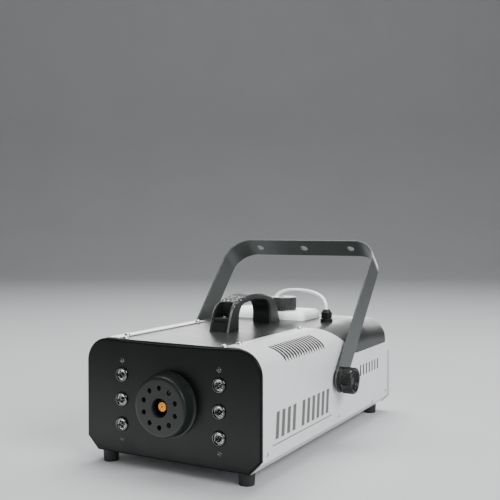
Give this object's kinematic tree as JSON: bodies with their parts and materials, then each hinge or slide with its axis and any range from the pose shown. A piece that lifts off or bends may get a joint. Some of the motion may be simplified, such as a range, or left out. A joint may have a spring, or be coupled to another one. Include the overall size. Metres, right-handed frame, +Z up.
{
  "type": "fog machine",
  "caption": "Steel-cased fog machine with ringed front nozzle, clamp-knob swivel yoke, carry handle, lift-out fluid tank with suction hose, lamps and rear mains inlet.",
  "frame": {"origin": "on the floor under the middle of the machine, midway between the nozzle guard's face and the rear fittings", "axes": "+X right seen from the front, +Y from the nozzle towards the rear panel, +Z up; the nozzle faces -Y"},
  "size_m": [0.2936, 0.4614, 0.2716],
  "materials": {
    "zinc_steel": "satin",
    "casing_black": "gloss",
    "cover_white": "satin",
    "panel_black": "satin",
    "guard_black": "satin",
    "yoke_black": "satin",
    "brass": "polished",
    "copper_pipe": "polished",
    "cast_aluminium": "satin",
    "bright_steel": "polished",
    "black_steel": "gloss",
    "insulation": "matte",
    "component_black": "matte",
    "transformer_steel": "satin",
    "circuit_board": "satin",
    "chrome": "polished",
    "lens_clear": "polished",
    "handle_black": "satin",
    "knob_black": "satin",
    "spacer_rubber": "matte",
    "foot_rubber": "matte",
    "tank_white": "satin",
    "cap_black": "satin",
    "hose_white": "satin",
    "fitting_black": "satin",
    "rocker_black": "gloss"
  },
  "bodies": {
    "case": {"base_tray": "zinc_steel", "top_casing": "casing_black", "left_cover": "cover_white", "right_cover": "cover_white", "front_panel": "panel_black", "rear_panel": "cover_white", "nozzle_guard": "guard_black", "nozzle": "brass", "nozzle_pipe": "copper_pipe", "heater_block": "cast_aluminium", "heating_rods": "bright_steel", "heater_insulation": "insulation", "heater_brackets": "zinc_steel", "thermostat": "component_black", "thermal_fuse": "bright_steel", "pump": "component_black", "pump_bracket": "zinc_steel", "pump_inlet_tube": "hose_white", "pump_outlet_tube": "hose_white", "control_board": "circuit_board", "board_standoffs": "brass", "transformer": "transformer_steel", "lamp_bezels": "chrome", "lamp_reflectors": "chrome", "lamp_lenses": "lens_clear", "lamp_board_left": "circuit_board", "lamp_board_right": "circuit_board", "lamp_screws": "black_steel", "handle": "handle_black", "handle_screws": "black_steel", "yoke_spacers": "spacer_rubber", "stud_nuts": "zinc_steel", "hose_gland": "fitting_black", "gland_nut": "fitting_black", "tank_cradle": "zinc_steel", "mains_inlet": "fitting_black", "switch_housing": "fitting_black", "fuse_holder": "fitting_black", "remote_socket": "chrome", "rubber_feet": "foot_rubber", "foot_screws": "bright_steel", "cover_top_screws": "bright_steel", "cover_side_screws": "bright_steel", "rear_panel_screws": "bright_steel"},
    "yoke": {"yoke": "yoke_black"},
    "left_knob": {"left_knob": "knob_black", "left_knob_stud": "bright_steel", "left_knob_washer": "knob_black"},
    "right_knob": {"right_knob": "knob_black", "right_knob_stud": "bright_steel", "right_knob_washer": "knob_black"},
    "tank": {"fluid_tank": "tank_white", "suction_hose": "hose_white", "hose_fitting": "fitting_black", "pickup_tube": "hose_white", "pickup_filter": "fitting_black"},
    "cap": {"tank_cap": "cap_black", "cap_seal": "spacer_rubber"},
    "rocker": {"switch_rocker": "rocker_black"},
    "fuse_cap": {"fuse_cap": "fitting_black"}
  },
  "joints": [
    {"name": "yoke_tilt", "type": "hinge", "parent": "case", "child": "yoke", "pos_m": [0, 0.0107, 0.0865], "axis": [-1, 0, 0], "range_deg": [-108, 36]},
    {"name": "left_knob_turn", "type": "hinge", "parent": "case", "child": "left_knob", "pos_m": [-0.137, 0.0107, 0.0865], "axis": [-1, 0, 0], "continuous": true},
    {"name": "right_knob_turn", "type": "hinge", "parent": "case", "child": "right_knob", "pos_m": [0.137, 0.0107, 0.0865], "axis": [1, 0, 0], "continuous": true},
    {"name": "tank_lift", "type": "slide", "parent": "case", "child": "tank", "axis": [0, 0, 1], "range_m": [0, 0.15]},
    {"name": "cap_turn", "type": "hinge", "parent": "tank", "child": "cap", "pos_m": [0.0005, 0.0907, 0.175], "axis": [0, 0, 1], "continuous": true},
    {"name": "power_rocker", "type": "hinge", "parent": "case", "child": "rocker", "pos_m": [-0.038, 0.2243, 0.053], "axis": [1, 0, 0], "range_deg": [-18, 0]},
    {"name": "fuse_cap_turn", "type": "hinge", "parent": "case", "child": "fuse_cap", "pos_m": [-0.008, 0.2287, 0.053], "axis": [0, -1, 0], "range_deg": [0, 90]}
  ]
}
